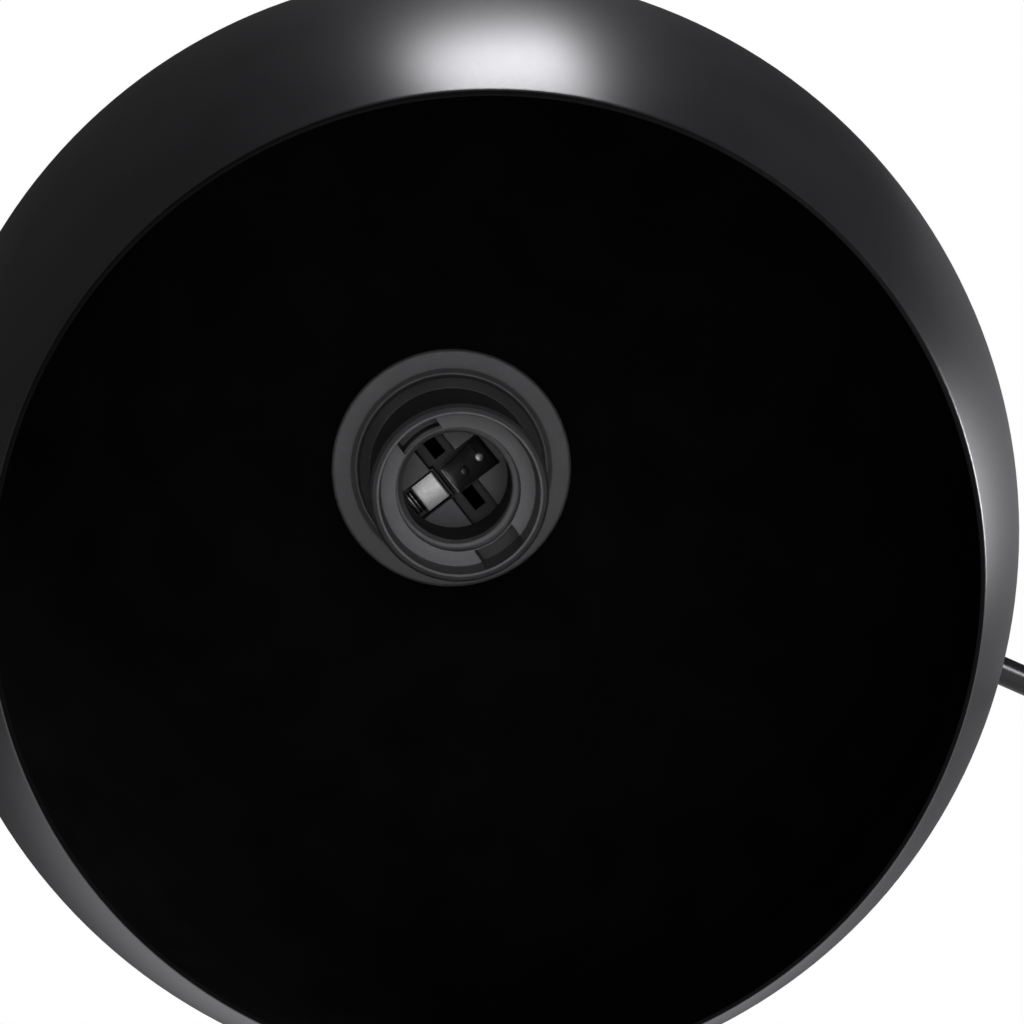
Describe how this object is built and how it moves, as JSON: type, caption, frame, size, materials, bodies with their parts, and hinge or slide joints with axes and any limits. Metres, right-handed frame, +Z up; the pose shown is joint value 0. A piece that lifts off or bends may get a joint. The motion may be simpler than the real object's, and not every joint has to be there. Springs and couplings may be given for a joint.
{
  "type": "led floor reading lamp",
  "caption": "Swing-arm floor reading lamp: weighted round base, sliding mast, elbowed slim arm and a globe shade with a screw lampholder on a turning and tilting knuckle.",
  "frame": {"origin": "on the floor, under the middle of the base and the pole's axis", "axes": "+Z up the pole; the arm leaves the pole towards -X at rest; the shade opens towards -Y and downwards"},
  "size_m": [0.703, 0.3898, 1.3463],
  "materials": {
    "black_coat": "satin black powder coat",
    "shade_black": "spun aluminium, satin black powder coat outside, matt black inside",
    "holder_plastic": "moulded dark grey-black thermoplastic",
    "knob_plastic": "moulded black plastic",
    "nylon_black": "black nylon",
    "nylon_white": "natural nylon",
    "pad_rubber": "black foam rubber",
    "weight_iron": "raw casting",
    "plated_steel": "zinc plated",
    "brass": "turned brass",
    "contact_dark": "blackened spring strip",
    "contact_silver": "nickel plated strip",
    "fibre": "brown vulcanised fibre"
  },
  "bodies": {
    "stand": {"base_cover": "black_coat", "base_weight": "weight_iron", "bottom_plate": "plated_steel", "plate_screws": "plated_steel", "base_pad": "pad_rubber", "cord_inlet": "nylon_black", "pole_socket": "black_coat", "pole_bolt": "plated_steel", "pole_washer": "plated_steel", "pole_tube": "black_coat", "clamp_collar": "black_coat", "guide_bush": "nylon_black", "clamp_pad": "nylon_white", "grub_screws": "plated_steel"},
    "height_knob": {"height_knob": "knob_plastic"},
    "mast": {"mast_tube": "black_coat", "mast_guide": "nylon_black", "swivel_bush": "brass"},
    "yoke": {"yoke": "black_coat", "yoke_clip": "plated_steel", "elbow_bolt": "plated_steel", "elbow_washers": "fibre"},
    "elbow_knob": {"elbow_knob": "knob_plastic"},
    "arm": {"arm_tongue": "black_coat", "arm_tube": "black_coat", "arm_ferrule": "black_coat", "arm_grub_screws": "plated_steel"},
    "turning_knuckle": {"knuckle_tongue": "black_coat", "swivel_clip": "plated_steel"},
    "head": {"knuckle_fork": "black_coat", "knuckle_screw": "plated_steel", "knuckle_nut": "plated_steel", "nipple": "brass", "nipple_nut": "brass", "head_cup": "black_coat", "switch_body": "knob_plastic", "switch_nut": "black_coat", "lampholder_cap": "holder_plastic", "lampholder_insert": "holder_plastic", "centre_terminal": "contact_dark", "side_contact": "contact_silver", "terminal_screws": "brass", "lampholder_skirt": "holder_plastic", "shade_ring": "holder_plastic", "shade": "shade_black"},
    "switch_button": {"switch_button": "knob_plastic"},
    "centre_contact": {"centre_contact": "contact_dark"}
  },
  "joints": [
    {"name": "height_slide", "type": "slide", "parent": "stand", "child": "mast", "axis": [0, 0, 1], "range_m": [-0.25, 0.05]},
    {"name": "height_knob_turn", "type": "hinge", "parent": "stand", "child": "height_knob", "pos_m": [0.02, 0, 0.664], "axis": [1, 0, 0], "range_deg": [0, 360]},
    {"name": "swing", "type": "hinge", "parent": "mast", "child": "yoke", "pos_m": [0, 0, 1.147], "axis": [0, 0, 1], "range_deg": [-175, 175]},
    {"name": "elbow", "type": "hinge", "parent": "yoke", "child": "arm", "pos_m": [0, 0, 1.17865], "axis": [0, 1, 0], "range_deg": [-45, 40]},
    {"name": "elbow_knob_turn", "type": "hinge", "parent": "yoke", "child": "elbow_knob", "pos_m": [0, 0, 1.17865], "axis": [0, -1, 0], "range_deg": [0, 360]},
    {"name": "head_turn", "type": "hinge", "parent": "arm", "child": "turning_knuckle", "pos_m": [-0.42286, 0, 1.33256], "axis": [0.9397, 0, -0.342], "range_deg": [-100, 200]},
    {"name": "head_tilt", "type": "hinge", "parent": "turning_knuckle", "child": "head", "pos_m": [-0.42286, 0, 1.33256], "axis": [0.262, -0.6428, 0.7198], "range_deg": [-80, 25]},
    {"name": "switch_press", "type": "slide", "parent": "head", "child": "switch_button", "axis": [-0.262, 0.6428, -0.7198], "range_m": [0, 0.003], "stiffness_N_per_m": 300, "springref_m": -0.005},
    {"name": "contact_flex", "type": "hinge", "parent": "head", "child": "centre_contact", "pos_m": [-0.43988, -0.08375, 1.27427], "axis": [0.7067, 0.3018, -0.6399], "range_deg": [0, 10], "stiffness_Nm_per_rad": 0.1, "springref_deg": -5.73}
  ]
}
